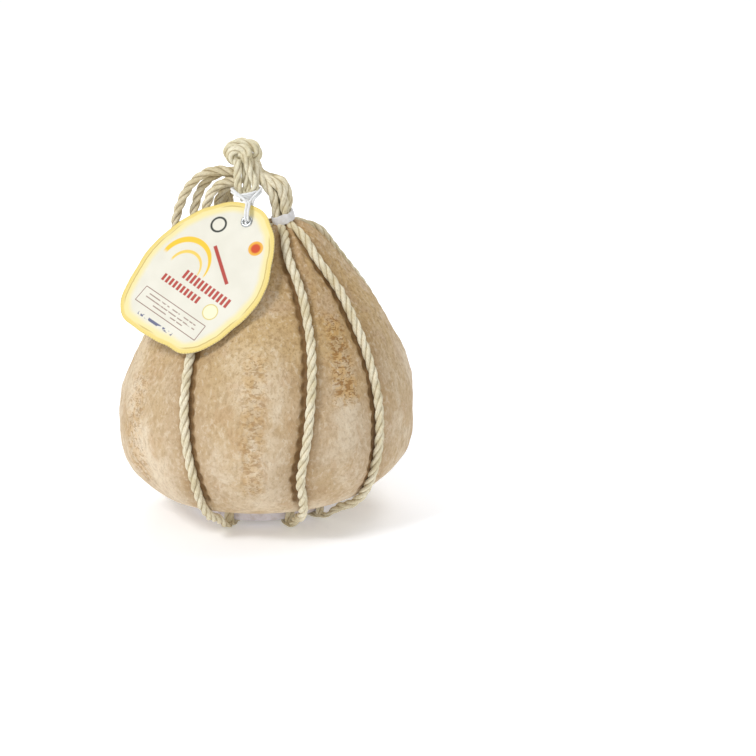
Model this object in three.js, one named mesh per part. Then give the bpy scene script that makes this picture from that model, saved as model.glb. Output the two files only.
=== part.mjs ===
// A whole pear-shaped pulled-curd cheese in its rope harness. Millimetres, +Z up.
// Azimuths are in degrees: 0 faces -Y, the front, and 90 faces +X.
import * as THREE from 'three';
import { mergeVertices } from 'three/addons/utils/BufferGeometryUtils.js';

// Cheese body: a squat superellipse below the belly and a power curve up to the neck.
const BELLY_RADIUS = 89.8;
const BELLY_HEIGHT = 61.5;
const LOWER_DEPTH = 62;
const LOWER_SQUARENESS = 2.3;
const UPPER_RISE = 128.5;
const UPPER_POWER = 1.9;
const LEAN = 0.0693;
const SEAT_HEIGHT = 15.3;
const SEAT_BLEND = 4;
const SHOULDER_TOP = 168;
const CROWN_ROWS = [[20, 171], [12, 172.6]];
const CROWN_TOP = 173;
const NECK_SHIFT = 4;
const NECK_SHIFT_SPAN = [148, 180];
const SAG_RADIUS = 31.8;
const SAG_BOTTOM = 4;

// The body bulges softly between the ropes and is dented along each one.
const LOBE_BULGE = 1;
const GROOVE_DEPTH = 2.2;
const GROOVE_HALF_WIDTH = 4.5;
const GROOVE_START = [18, 34];

// Base ring that all the ropes are turned round.
const RING = { inner: 36, outer: 43, bottom: 3.5, top: 11.5, round: 2.5 };

// Rope of the harness, and its pressed section where it is trapped under the ring.
const ROPE_RADIUS = 2.4;
const ROPE_CLEARANCE = 0.5;
const HITCH_HALF_THICKNESS = 1.6;
const HITCH_HALF_WIDTH = 3.2;
const FIT_GAP = 0.3;

// Azimuth of each rope at these heights: ring, belly, foot and head of the shoulder, and neck.
const ROPE_LEVELS = [0, 45, 120, 150, 174];
const ROPE_AZIMUTHS = [
  [-22, -24.5, -36, -36, -48],
  [25.5, 16, 21.5, 21.5, 5],
  [55, 50, 50, 50, 35],
  [104, 110, 118, 118, 118],
  [142, 144, 143, 143, 143],
  [176, 176, 172, 172, 172],
  [214, 222, 231, 231, 231],
  [254, 254, 254, 254, 260],
];

// Route of the gathered ropes from below the neck band to the knot, in the XZ plane. They lie in
// two layers of four, which part in the hump above the band and close up again at the knot.
const NECK_ROUTE = [
  [17.6, 175.6], [15.9, 181.5], [15.1, 187], [15.3, 193.5], [13.4, 199.4], [9.6, 204], [6.4, 207.6],
  [3.6, 210.6],
];
const LAYER_HALF = 2.55;
const COLUMN_PITCH = 5.1;
const HUMP_SPANS = [[0.2, 0.45], [0.75, 0.95]];
const HUMP_LOWER = 1.5;
const HUMP_UPPER = [-0.9, 1.4, 1.4, 0];
const NECK_CENTRE = [15.85, 0, 182.1];
const NECK_TILT = 14;
const BAND = { halfWidth: 5.45, halfDepth: 10.8, corner: 2.6, wall: 0.9, height: 4.4 };

const KNOT = { x: -7.4, z: 220.6, back: 4.1, halfWidth: 8.9, halfHeight: 6, pitch: 5.6 };
const KNOT_TURN = [560, -380];

// Tag, hung by its eyelet and lying on the shoulder.
const EYELET_CENTRE = [-3.85, -26, 183.9];
const TAG_AZIMUTH = -20;
const TAG_RISE = 36;
const TAG_ROLL = -27.8;
const TAG_THICKNESS = 0.9;
const TAG_HOLE = 2.7;
const EYELET = { bore: 1.7, barrel: 2.4, flange: 3.7, plate: 0.5 };
const TIE_RADIUS = 0.75;

const radians = THREE.MathUtils.degToRad;

function material(color, roughness, metalness = 0) {
  return new THREE.MeshStandardMaterial({ color, roughness, metalness });
}
const rind = material(0xcdb592, 0.75);
const fibre = material(0xd8c9a2, 0.9);
const paleRing = material(0x9d9088, 0.5);
const whiteBand = material(0xd8d4c8, 0.6);
const card = material(0xf2ead2, 0.7);
const eyeletMetal = material(0xa9adb0, 0.35, 0.9);

const part = new THREE.Group();
function addPiece(name, geometry, look, parent = part) {
  const mesh = new THREE.Mesh(geometry, look);
  mesh.name = name;
  parent.add(mesh);
  return mesh;
}

// Radius of the smooth body at height z, before lobes and grooves.
function bodyRadius(z) {
  if (z < BELLY_HEIGHT) {
    const cosine = Math.pow((BELLY_HEIGHT - z) / LOWER_DEPTH, LOWER_SQUARENESS / 2);
    return BELLY_RADIUS * Math.pow(1 - Math.min(cosine, 1) ** 2, 1 / LOWER_SQUARENESS);
  }
  return BELLY_RADIUS * (1 - Math.pow((z - BELLY_HEIGHT) / UPPER_RISE, UPPER_POWER));
}

// Azimuth of a rope at height z, straight between its values at the levels.
function ropeAzimuth(index, z) {
  const azimuths = ROPE_AZIMUTHS[index];
  const last = ROPE_LEVELS.length - 2;
  const from = Math.min(Math.max(ROPE_LEVELS.findLastIndex((level) => level <= z), 0), last);
  const share = (z - ROPE_LEVELS[from]) / (ROPE_LEVELS[from + 1] - ROPE_LEVELS[from]);
  return THREE.MathUtils.lerp(azimuths[from], azimuths[from + 1], Math.min(Math.max(share, 0), 1));
}

// Point at an azimuth and radius about the leaning middle of the body.
function onBody(azimuth, radius, z) {
  const angle = radians(azimuth);
  const middle = z * LEAN + NECK_SHIFT * THREE.MathUtils.smoothstep(z, ...NECK_SHIFT_SPAN);
  return new THREE.Vector3(middle + radius * Math.sin(angle), -radius * Math.cos(angle), z);
}

// Radius of a rope's middle line where it lies in its groove at height z.
function ropeRadiusAt(z) {
  const slope = bodyRadius(z + 0.5) - bodyRadius(z - 0.5);
  return bodyRadius(z) - GROOVE_DEPTH + (ROPE_RADIUS + ROPE_CLEARANCE) * Math.hypot(1, slope);
}

// Rows of the body from the middle of its underside to its crown, as [radius, height].
function bodyRows() {
  const rows = [];
  for (const share of [0.35, 0.62, 0.82, 0.94, 1]) {
    const dip = (SEAT_HEIGHT - SAG_BOTTOM) * (1 - share ** 4);
    rows.push([SAG_RADIUS * share, SEAT_HEIGHT + 0.1 - dip]);
  }
  for (const share of [0.6, 0.7, 0.78, 0.86, 0.93, 0.975, 1]) {
    const radius = BELLY_RADIUS * share;
    const drop = Math.pow(1 - Math.pow(share, LOWER_SQUARENESS), 1 / LOWER_SQUARENESS);
    const z = BELLY_HEIGHT - LOWER_DEPTH * drop;
    const lift = Math.hypot(z - SEAT_HEIGHT, SEAT_BLEND);
    rows.push([radius, (z + SEAT_HEIGHT + lift) / 2]);
  }
  for (const z of [78, 93, 107, 120, 132, 143, 153, 161, SHOULDER_TOP]) rows.push([bodyRadius(z), z]);
  return [...rows, ...CROWN_ROWS];
}

// Lobe and groove relief at a share of the way from one rope to the next.
function relief(share, span, radius, z) {
  const arc = radians(span) * radius;
  const toRope = Math.min(share, 1 - share) * arc;
  const start = THREE.MathUtils.smoothstep(z, ...GROOVE_START);
  const groove = GROOVE_DEPTH * Math.exp(-((toRope / GROOVE_HALF_WIDTH) ** 2)) * start;
  return LOBE_BULGE * Math.sin(Math.PI * share) ** 2 * start - groove;
}

function cheeseGeometry() {
  const shares = [0, 0.06, 0.13, 0.3, 0.5, 0.7, 0.87, 0.94];
  const rows = bodyRows();
  const count = ROPE_AZIMUTHS.length;
  const columns = count * shares.length;
  const points = [];
  for (const [radius, z] of rows) {
    for (let k = 0; k < count; k++) {
      const here = ropeAzimuth(k, z);
      const next = k + 1 < count ? ropeAzimuth(k + 1, z) : ropeAzimuth(0, z) + 360;
      for (const share of shares) {
        const bulged = radius + relief(share, next - here, radius, z);
        points.push(onBody(here + (next - here) * share, bulged, z));
      }
    }
  }
  const underside = points.push(onBody(0, 0, SAG_BOTTOM)) - 1;
  const crown = points.push(onBody(0, 0, CROWN_TOP)) - 1;
  const faces = [];
  for (let i = 0; i < columns; i++) {
    const j = (i + 1) % columns;
    faces.push(underside, j, i);
    for (let row = 0; row < rows.length - 1; row++) {
      const a = row * columns;
      const b = a + columns;
      faces.push(a + i, a + j, b + j, a + i, b + j, b + i);
    }
    const last = (rows.length - 1) * columns;
    faces.push(last + i, last + j, crown);
  }
  const geometry = new THREE.BufferGeometry().setFromPoints(points);
  geometry.setIndex(faces);
  return geometry;
}

// Closed lathe profile of a rectangle with round corners.
function roundedProfile({ inner, outer, bottom, top, round }, cornerSteps) {
  const corners = [
    [outer - round, top - round], [inner + round, top - round],
    [inner + round, bottom + round], [outer - round, bottom + round],
  ];
  const profile = [];
  corners.forEach(([x, y], corner) => {
    for (let step = 0; step <= cornerSteps; step++) {
      const angle = ((corner + step / cornerSteps) * Math.PI) / 2;
      profile.push(new THREE.Vector2(x + round * Math.cos(angle), y + round * Math.sin(angle)));
    }
  });
  profile.push(profile[0].clone());
  return profile;
}

function ringGeometry() {
  return closed(new THREE.LatheGeometry(roundedProfile(RING, 2), 28).rotateX(Math.PI / 2));
}

function closed(geometry) {
  geometry.deleteAttribute('normal');
  geometry.deleteAttribute('uv');
  return mergeVertices(geometry, 1e-4);
}

// Round rope as a six-sided tube along a smooth curve through its points.
function ropeGeometry(points, stepLength = 9, radius = ROPE_RADIUS) {
  const path = new THREE.CatmullRomCurve3(points, false, 'centripetal');
  const section = new THREE.Shape();
  for (let i = 0; i < 6; i++) {
    const angle = (i * Math.PI) / 3;
    if (i === 0) section.moveTo(radius, 0);
    else section.lineTo(radius * Math.cos(angle), radius * Math.sin(angle));
  }
  section.closePath();
  const steps = Math.round(path.getLength() / stepLength);
  return new THREE.ExtrudeGeometry(section, { steps, extrudePath: path, bevelEnabled: false });
}

// Turn of each rope round the ring: in under it, up its inner side, over its top and down
// its face, pressed flat. Built in the XZ plane and swung round to its azimuth.
function hitchGeometry() {
  const off = FIT_GAP + HITCH_HALF_THICKNESS;
  const { inner, outer, bottom, top, round } = RING;
  const route = new THREE.Path();
  route.moveTo(outer + 6.2, bottom - off + 0.2);
  route.lineTo(inner + round, bottom - off);
  route.absarc(inner + round, bottom + round, round + off, 1.5 * Math.PI, Math.PI, true);
  route.absarc(inner + round, top - round, round + off, Math.PI, 0.5 * Math.PI, true);
  route.absarc(outer - round, top - round, round + off, 0.5 * Math.PI, 0, true);
  route.lineTo(outer + off, bottom + 0.5);
  const points = route.getSpacedPoints(24).map((p) => new THREE.Vector3(p.x, 0, p.y));
  const path = new THREE.CatmullRomCurve3(points, false, 'centripetal');
  const flatHalf = HITCH_HALF_WIDTH * 0.66;
  const section = new THREE.Shape([
    new THREE.Vector2(HITCH_HALF_WIDTH, 0),
    new THREE.Vector2(flatHalf, HITCH_HALF_THICKNESS),
    new THREE.Vector2(-flatHalf, HITCH_HALF_THICKNESS),
    new THREE.Vector2(-HITCH_HALF_WIDTH, 0),
    new THREE.Vector2(-flatHalf, -HITCH_HALF_THICKNESS),
    new THREE.Vector2(flatHalf, -HITCH_HALF_THICKNESS),
  ]);
  return new THREE.ExtrudeGeometry(section, { steps: 14, extrudePath: path, bevelEnabled: false });
}

// Place of a rope at a share of the neck route, across it and to its front. From the front, the
// lower layer holds ropes 2, 1, 8 and 7 and the upper one ropes 3 to 6, further apart in the hump.
function bundleSlot(index, stop) {
  const [[rise, risen], [fall, fallen]] = HUMP_SPANS;
  const { smoothstep } = THREE.MathUtils;
  const hump = smoothstep(stop, rise, risen) - smoothstep(stop, fall, fallen);
  const upperLayer = index >= 2 && index <= 5;
  const fromFront = upperLayer ? index - 2 : (9 - index) % 8;
  const across = upperLayer
    ? LAYER_HALF + HUMP_UPPER[fromFront] * hump
    : -LAYER_HALF - HUMP_LOWER * hump;
  return { across, front: (1.5 - fromFront) * COLUMN_PITCH, upperLayer };
}

const neckRoute = new THREE.CatmullRomCurve3(
  NECK_ROUTE.map(([x, z]) => new THREE.Vector3(x, 0, z)), false, 'centripetal');

// Points of one rope: from beside the ring up over the body, through the band to the knot. The
// upper layer ends where it folds down over the lower one.
function ropePoints(index) {
  const leaving = [[50.4, 2.95], [55, 6.6], [61, 10.9], [68.5, 14.3], [76.5, 21], [83.3, 31.5]];
  const points = leaving.map(([radius, z]) => onBody(ropeAzimuth(index, z), radius, z));
  for (const z of [42, 52, 63, 76, 90, 104, 118, 131, 143, 154, 163]) {
    points.push(onBody(ropeAzimuth(index, z), ropeRadiusAt(z), z));
  }
  const gathering = [[28.3, 171], [20.6, 174.5]];
  for (const [radius, z] of gathering) {
    points.push(onBody(ropeAzimuth(index, z), radius, z));
  }
  const foldedEnd = 0.7;
  for (const stop of [0.06, 0.11, 0.16, 0.23, 0.31, 0.41, 0.52, 0.66, 0.82, 1]) {
    const slot = bundleSlot(index, stop);
    if (slot.upperLayer && stop > foldedEnd) break;
    const centre = neckRoute.getPointAt(stop);
    const along = neckRoute.getTangentAt(stop);
    const offset = new THREE.Vector3(along.z * slot.across, -slot.front, -along.x * slot.across);
    points.push(centre.add(offset));
  }
  return points;
}

// Rectangle with round corners about the origin, as a path that runs counter-clockwise.
function roundedRectangle(halfWidth, halfDepth, corner) {
  const steps = 4;
  const points = [];
  [[1, 1], [-1, 1], [-1, -1], [1, -1]].forEach(([sideX, sideY], quarter) => {
    for (let step = 0; step <= steps; step++) {
      const angle = ((quarter + step / steps) * Math.PI) / 2;
      const x = sideX * (halfWidth - corner) + corner * Math.cos(angle);
      const y = sideY * (halfDepth - corner) + corner * Math.sin(angle);
      points.push(new THREE.Vector2(x, y));
    }
  });
  return points;
}

function bandGeometry() {
  const { halfWidth, halfDepth, corner, wall, height } = BAND;
  const shape = new THREE.Shape(roundedRectangle(halfWidth + wall, halfDepth + wall, corner + wall));
  shape.holes.push(new THREE.Path(roundedRectangle(halfWidth, halfDepth, corner).reverse()));
  const options = { depth: height, bevelEnabled: false };
  return new THREE.ExtrudeGeometry(shape, options).translate(0, 0, -height / 2);
}

// Rope wound round the gathered ends, from back to front.
function knotPoints() {
  const [from, to] = KNOT_TURN;
  const count = 30;
  const points = [];
  for (let i = 0; i <= count; i++) {
    const turn = THREE.MathUtils.lerp(from, to, i / count);
    const y = KNOT.back - (KNOT.pitch * (from - turn)) / 360;
    const x = KNOT.x + KNOT.halfWidth * Math.cos(radians(turn));
    points.push(new THREE.Vector3(x, y, KNOT.z + KNOT.halfHeight * Math.sin(radians(turn))));
  }
  return points;
}

// Routes of the spare rope that hangs from the knot in bights over the left shoulder.
const HANG_LOOPS = [
  [[-10.5, -7, 209.8], [-18, -7, 211.2], [-25, -7, 211], [-31.5, -7, 208.2], [-39, -6.5, 201.5],
    [-44.6, -6, 191.5], [-47.8, -5.5, 180.8], [-48.4, -5, 167], [-46.8, -5, 154.5], [-41.7, -5, 149],
    [-36, -5.2, 154.5], [-32.8, -6.2, 166], [-31, -6.8, 180], [-28.6, -7.2, 192], [-24, -7.5, 200.2],
    [-17.5, -8, 204.4], [-11.5, -8, 204.4]],
  [[-10.5, -1.4, 209.5], [-17, -1.6, 209.4], [-25, -1.8, 207], [-31.6, -1.8, 201], [-35.8, -1.8, 191.5],
    [-37.8, -1.8, 181], [-37.2, -1.6, 170.5], [-31, -1.5, 164], [-25.8, -1.6, 170.5], [-24.4, -1.8, 181],
    [-22.4, -1.8, 192], [-17.6, -2, 200], [-10.5, -2, 203.6]],
  [[-10.5, 4, 209.2], [-15.5, 4, 205.5], [-17.8, 4, 197], [-18.6, 4, 188], [-17.9, 6.6, 181.2],
    [-17, 9.4, 188], [-15.6, 9.4, 197], [-9.5, 9.2, 203.5]],
];
const TAG_LOOP = [
  [-9.9, -12.3, 218.5], [-9.7, -12.3, 211], [-9.9, -12.3, 204], [-7.8, -12.3, 198.5], [-4.3, -12.3, 196.4],
  [-1.2, -12.3, 198.6], [0.3, -12.3, 203.6], [-2.4, -12.3, 210.5], [-4.9, -12.3, 218.5],
];
const TAG_TIE = [
  [-3.2, -16, 186], [-2.9, -23.2, 181.8], [-3.85, -26, 183.9], [-4.7, -28.4, 185.8], [-4.6, -27.6, 190],
  [-4.2, -22.5, 194], [-6.8, -17.6, 196.6], [-11.8, -15.6, 200.4], [-13.4, -12.2, 201],
  [-10.6, -8.7, 200.6], [-3.5, -8.4, 200.4], [1.6, -8.7, 200.9], [3.7, -12.3, 201], [1.7, -15.9, 199.2],
  [-2, -17, 195],
];
const toVectors = (points) => points.map((p) => new THREE.Vector3(...p));

// Outline of the tag about its eyelet, as [across, up], an uneven torn-edged rounded card.
const TAG_OUTLINE = [
  [-15.7, 5.5], [-5, 9.6], [3, 10.6], [14, 6.5], [23, -0.5], [31.5, -12.6], [38.6, -26], [40.8, -38],
  [38.2, -57], [32.6, -73.5], [23.7, -83.7], [10, -86.6], [-6.4, -88.5], [-21, -88.6], [-29, -85.6],
  [-34.5, -79], [-38.3, -65.3], [-41, -45.5], [-37.8, -27.4], [-30.1, -9.5],
];

function tagGeometry() {
  const edge = new THREE.SplineCurve([...TAG_OUTLINE, TAG_OUTLINE[0]].map((p) => new THREE.Vector2(...p)));
  const shape = new THREE.Shape(edge.getPoints(40).slice(0, -1));
  const hole = new THREE.EllipseCurve(0, 0, TAG_HOLE, TAG_HOLE, 0, 2 * Math.PI);
  shape.holes.push(new THREE.Path(hole.getPoints(12).slice(0, -1)));
  const options = { depth: TAG_THICKNESS, bevelEnabled: false };
  return new THREE.ExtrudeGeometry(shape, options).translate(0, 0, -TAG_THICKNESS / 2);
}

function eyeletGeometry() {
  const face = TAG_THICKNESS / 2 + FIT_GAP;
  const { bore, barrel, flange, plate } = EYELET;
  const profile = [
    [bore, -face - plate], [flange, -face - plate], [flange, -face], [barrel, -face],
    [barrel, face], [flange, face], [flange, face + plate], [bore, face + plate], [bore, -face - plate],
  ].map(([x, y]) => new THREE.Vector2(x, y));
  return closed(new THREE.LatheGeometry(profile, 15).rotateX(Math.PI / 2));
}

// Group whose XY plane is the card: +Z faces out of its front and +Y points to its top.
function tagFrame() {
  const azimuth = radians(TAG_AZIMUTH);
  const rise = radians(TAG_RISE);
  const out = new THREE.Vector3(
    Math.sin(azimuth) * Math.cos(rise), -Math.cos(azimuth) * Math.cos(rise), Math.sin(rise));
  const side = new THREE.Vector3(Math.cos(azimuth), Math.sin(azimuth), 0);
  const up = new THREE.Vector3().crossVectors(out, side);
  const frame = new THREE.Group();
  frame.quaternion.setFromRotationMatrix(new THREE.Matrix4().makeBasis(side, up, out));
  frame.rotateZ(radians(TAG_ROLL));
  frame.position.set(...EYELET_CENTRE);
  part.add(frame);
  return frame;
}

addPiece('cheese', cheeseGeometry(), rind);
addPiece('base_ring', ringGeometry(), paleRing);
ROPE_AZIMUTHS.forEach(([ringAzimuth], index) => {
  addPiece(`rope_${index + 1}`, ropeGeometry(ropePoints(index)), fibre);
  const hitch = addPiece(`hitch_${index + 1}`, hitchGeometry(), fibre);
  hitch.rotation.z = radians(ringAzimuth - 90);
});

const band = addPiece('neck_band', bandGeometry(), whiteBand);
band.position.set(...NECK_CENTRE);
band.rotation.y = radians(-NECK_TILT);

addPiece('top_knot', ropeGeometry(knotPoints(), 4.5), fibre);
HANG_LOOPS.forEach((route, index) => {
  addPiece(`hang_loop_${index + 1}`, ropeGeometry(toVectors(route), 5.5), fibre);
});
addPiece('tag_loop', ropeGeometry(toVectors(TAG_LOOP), 4, 2.35), fibre);

const frame = tagFrame();
addPiece('tag', tagGeometry(), card, frame);
addPiece('eyelet', eyeletGeometry(), eyeletMetal, frame);
const tieCurve = new THREE.CatmullRomCurve3(toVectors(TAG_TIE), true, 'centripetal');
addPiece('tag_tie', closed(new THREE.TubeGeometry(tieCurve, 28, TIE_RADIUS, 5, true)), whiteBand);

// The origin is on the floor below the middle of the finished outline.
part.updateMatrixWorld(true);
const outline = new THREE.Box3().setFromObject(part, true);
const middle = outline.getCenter(new THREE.Vector3());
part.position.set(-middle.x, -middle.y, -outline.min.z);

export default part;
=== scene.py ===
"""A whole pear-shaped aged cheese in its rope harness, with a base ring, a top knot and a card tag.

Shapes are worked out in millimetres about the middle of the base ring and put in the frame in metres.
Azimuths are in degrees: 0 faces -Y, the front, and 90 faces +X.
"""

import bpy
import numpy as np
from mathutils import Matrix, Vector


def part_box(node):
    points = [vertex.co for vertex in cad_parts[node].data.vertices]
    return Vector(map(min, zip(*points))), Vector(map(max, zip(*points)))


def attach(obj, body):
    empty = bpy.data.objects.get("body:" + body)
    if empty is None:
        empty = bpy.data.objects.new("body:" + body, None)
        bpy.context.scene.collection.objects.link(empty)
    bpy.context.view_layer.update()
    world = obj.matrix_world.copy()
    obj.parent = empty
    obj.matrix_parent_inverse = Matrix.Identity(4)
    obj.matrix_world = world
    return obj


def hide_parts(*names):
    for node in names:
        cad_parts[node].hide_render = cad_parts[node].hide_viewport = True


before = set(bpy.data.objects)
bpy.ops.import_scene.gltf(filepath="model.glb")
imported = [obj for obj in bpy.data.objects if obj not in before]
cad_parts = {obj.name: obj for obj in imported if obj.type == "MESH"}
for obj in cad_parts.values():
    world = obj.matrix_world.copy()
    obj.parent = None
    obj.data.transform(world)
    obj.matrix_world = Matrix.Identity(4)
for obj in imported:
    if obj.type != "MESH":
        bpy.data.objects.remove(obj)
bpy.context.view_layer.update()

# ---------------------------------------------------------------------------------------------
# The cheese. A skin of pulled curd is closed round its own filling, hung in a harness and aged, so
# that the ropes press lobes and lay marks into it. The rind is dry, matt and mottled, with a pale
# bloom, painted shade in the rope grooves and beside the ropes, and worn remains of a stamp burnt in
# down three lobes.
# ---------------------------------------------------------------------------------------------
MM = 0.001
RING_BOTTOM = 3.5
ring_low, ring_high = (np.array(corner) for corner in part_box("base_ring"))
MIDDLE = np.array([*(ring_low[:2] + ring_high[:2]) / 2, ring_low[2] - RING_BOTTOM * MM])

BELLY_RADIUS, BELLY_HEIGHT = 89.8, 61.5
LOWER_DEPTH, LOWER_SQUARENESS = 62, 2.3
UPPER_RISE, UPPER_POWER = 128.5, 1.9
SEAT_HEIGHT, SEAT_BLEND = 15.3, 4
SAG_RADIUS, SAG_BOTTOM = 31.8, 4
SHOULDER_TOP, CROWN_RISE, CROWN_POWER = 168, 14.5, 1.61
LEAN = 0.0693
NECK_SHIFT, NECK_SHIFT_SPAN = 4, (148, 180)
LOBE_BULGE = 1
GROOVE_DEPTH, GROOVE_HALF_WIDTH, GROOVE_START = 2.2, 4.5, (18, 34)
PRINT_OFFSET, PRINT_HALF_WIDTH, PRINT_DEPTH, PRINT_PITCH = 3.9, 1.7, 1.5, 7.5
ROPE_SHADE_REACH = 17
LOBE_COLUMNS, BODY_ROWS = 46, 232
WANDER = ((1.1, 46, 1), (0.45, 17, 2), (0.16, 6.5, 3))
PLEAT_DEPTH, PLEAT_COUNT, PLEAT_SPAN = 0.5, 31, (128, 165)
HIGH_SPAN = (72, 140)
PRINT_END = (150, 172)

# Columns where a stamp was burnt in: place in lobes, half width in lobes, foot, head and strength.
STAMP_COLUMNS = ((0.56, 0.10, 36, 116, 0.85), (7.62, 0.09, 30, 96, 0.9), (1.5, 0.2, 86, 134, 1.5))
STAMP_END = 3

# Azimuth of each rope at these heights: ring, belly, foot and head of the shoulder, and neck. Then the
# side of its old mark: 1 right of it, -1 left.
ROPE_LEVELS = (0, 45, 120, 150, 174)
ROPE_AZIMUTHS = np.array([
    [-22, -24.5, -36, -36, -48], [25.5, 16, 21.5, 21.5, 5], [55, 50, 50, 50, 35], [104, 110, 118, 118, 118],
    [142, 144, 143, 143, 143], [176, 176, 172, 172, 172], [214, 222, 231, 231, 231],
    [254, 254, 254, 254, 260]], float)
PRINT_SIDES = np.array([1, -1, -1, -1, 1, 1, -1, 1])


def ease(value, low, high):
    """Smooth step: 0 below low, 1 above high, 3t^2 - 2t^3 between."""
    t = np.clip((value - low) / (high - low), 0, 1)
    return t * t * (3 - 2 * t)


def waves(points, size, seed, count=28):
    """Smooth uneven field, about -1 to 1: the sum of cosines that run in random directions, size mm long."""
    rng = np.random.default_rng(seed)
    directions = rng.normal(size=(count, 3))
    directions /= np.linalg.norm(directions, axis=1, keepdims=True)
    lengths = size * rng.uniform(0.7, 1.5, count)
    phases = rng.uniform(0, 2 * np.pi, count)
    angles = points @ (directions * (2 * np.pi / lengths[:, None])).T + phases
    return np.cos(angles).sum(-1) * np.sqrt(2 / count) / 2


def body_radius(z):
    """Squat superellipse below the belly and a power curve up to the neck."""
    below = np.clip((BELLY_HEIGHT - z) / LOWER_DEPTH, 0, 1) ** (LOWER_SQUARENESS / 2)
    lower = BELLY_RADIUS * (1 - below ** 2) ** (1 / LOWER_SQUARENESS)
    above = np.clip((z - BELLY_HEIGHT) / UPPER_RISE, 0, 1)
    return np.where(z < BELLY_HEIGHT, lower, BELLY_RADIUS * (1 - above ** UPPER_POWER))


def body_middle(z):
    """The middle leans to the right as it rises, and shifts a little more at the neck."""
    return z * LEAN + NECK_SHIFT * ease(z, *NECK_SHIFT_SPAN)


def on_body(azimuth, radius, z):
    """Points at an azimuth and radius about the leaning middle of the body."""
    angle = np.radians(azimuth)
    return np.stack(np.broadcast_arrays(
        body_middle(z) + radius * np.sin(angle), -radius * np.cos(angle), z), -1)


def body_profile(rows):
    """Radius and height from the middle of the underside to the crown, in even steps: a sag inside the ring,
    the seat, the belly and the shoulder, each from its own curve."""
    share = np.linspace(0, 1, 40)[:-1]
    rise = SEAT_HEIGHT + 0.1 - (SEAT_HEIGHT - SAG_BOTTOM) * (1 - share ** 4)
    sag = np.stack([SAG_RADIUS * share, rise], -1)
    share = np.sin(np.linspace(np.arcsin(SAG_RADIUS / BELLY_RADIUS), np.pi / 2, 160))
    z = BELLY_HEIGHT - LOWER_DEPTH * (1 - share ** LOWER_SQUARENESS) ** (1 / LOWER_SQUARENESS)
    z = (z + SEAT_HEIGHT + np.hypot(z - SEAT_HEIGHT, SEAT_BLEND)) / 2
    belly = np.stack([BELLY_RADIUS * share, z], -1)
    z = np.linspace(BELLY_HEIGHT + 2, SHOULDER_TOP, 160)
    shoulder = np.stack([body_radius(z), z], -1)
    share = np.cos(np.linspace(0, np.pi / 2, 20))[1:]
    crown = np.stack([
        body_radius(SHOULDER_TOP) * share, SHOULDER_TOP + CROWN_RISE * (1 - share ** CROWN_POWER)], -1)
    line = np.concatenate([sag, belly, shoulder, crown])
    length = np.concatenate([[0], np.cumsum(np.linalg.norm(np.diff(line, axis=0), axis=1))])
    even = np.linspace(length[-1] * 0.004, length[-1] * 0.996, rows)
    return np.interp(even, length, line[:, 0]), np.interp(even, length, line[:, 1])


def rope_azimuth(index, z):
    """Azimuth of a rope at height z, straight between its values at the levels."""
    return np.interp(z, ROPE_LEVELS, ROPE_AZIMUTHS[index])


def lofted(name, sections, uv=None, looped=False, masks=None):
    """A closed skin over a grid of points, rows by columns: columns close on themselves, and the end rows
    get a fan each or, when looped, join up. uv has one more column than the grid, for the seam."""
    rows, columns = sections.shape[:2]
    row_steps = np.arange(rows if looped else rows - 1)
    a = row_steps[:, None] * columns + np.arange(columns)
    b = row_steps[:, None] * columns + (np.arange(columns) + 1) % columns
    up = (((row_steps + 1) % rows) - row_steps)[:, None] * columns
    quads = np.stack([a, b, b + up, a + up], -1).reshape(-1, 4)
    vertices = sections.reshape(-1, 3)
    fans = np.zeros((0, 3), int)
    if not looped:
        here, after = np.arange(columns), (np.arange(columns) + 1) % columns
        last = (rows - 1) * columns
        start, end = rows * columns, rows * columns + 1
        vertices = np.concatenate([vertices, sections[0].mean(0)[None], sections[-1].mean(0)[None]])
        fans = np.concatenate([
            np.stack([np.full(columns, start), after, here], -1),
            np.stack([np.full(columns, end), last + here, last + after], -1)])
    mesh = bpy.data.meshes.new(name)
    mesh.from_pydata((vertices * MM + MIDDLE).tolist(), [], quads.tolist() + fans.tolist())
    if uv is not None:
        seam = columns + 1
        c = row_steps[:, None] * seam + np.arange(columns)
        lift = (((row_steps + 1) % rows) - row_steps)[:, None] * seam
        corners = np.stack([c, c + 1, c + 1 + lift, c + lift], -1).reshape(-1)
        flat = uv.reshape(-1, 2)
        loops = flat[corners]
        if not looped:
            ends = np.concatenate([
                np.stack([np.arange(columns), np.arange(columns) + 1, np.arange(columns)], -1).reshape(-1),
                (rows - 1) * seam + np.stack(
                    [np.arange(columns), np.arange(columns), np.arange(columns) + 1], -1).reshape(-1)])
            loops = np.concatenate([loops, flat[ends]])
        mesh.uv_layers.new(name="surface").data.foreach_set("uv", loops.astype(np.float32).reshape(-1))
    for mask, values in (masks or {}).items():
        flat = values.reshape(-1)
        if not looped:
            flat = np.concatenate([flat, [values[0].mean(), values[-1].mean()]])
        mesh.attributes.new(mask, "FLOAT", "POINT").data.foreach_set("value", flat.astype(np.float32))
    mesh.shade_smooth()
    piece = bpy.data.objects.new(name, mesh)
    bpy.context.scene.collection.objects.link(piece)
    return piece


class Value:
    """A socket of a finish, so that shader maths reads as plain expressions."""

    def __init__(self, finish, socket):
        self.finish, self.socket = finish, socket

    def _math(self, operation, first, second):
        return self.finish.node("ShaderNodeMath", {"operation": operation}, {0: first, 1: second})

    def __add__(self, other):
        return self._math("ADD", self, other)

    def __radd__(self, other):
        return self._math("ADD", other, self)

    def __sub__(self, other):
        return self._math("SUBTRACT", self, other)

    def __rsub__(self, other):
        return self._math("SUBTRACT", other, self)

    def __mul__(self, other):
        return self._math("MULTIPLY", self, other)

    def __rmul__(self, other):
        return self._math("MULTIPLY", other, self)

    def __pow__(self, other):
        return self._math("POWER", self, other)

    def __abs__(self):
        return self._math("ABSOLUTE", self, 0.0)


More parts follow.
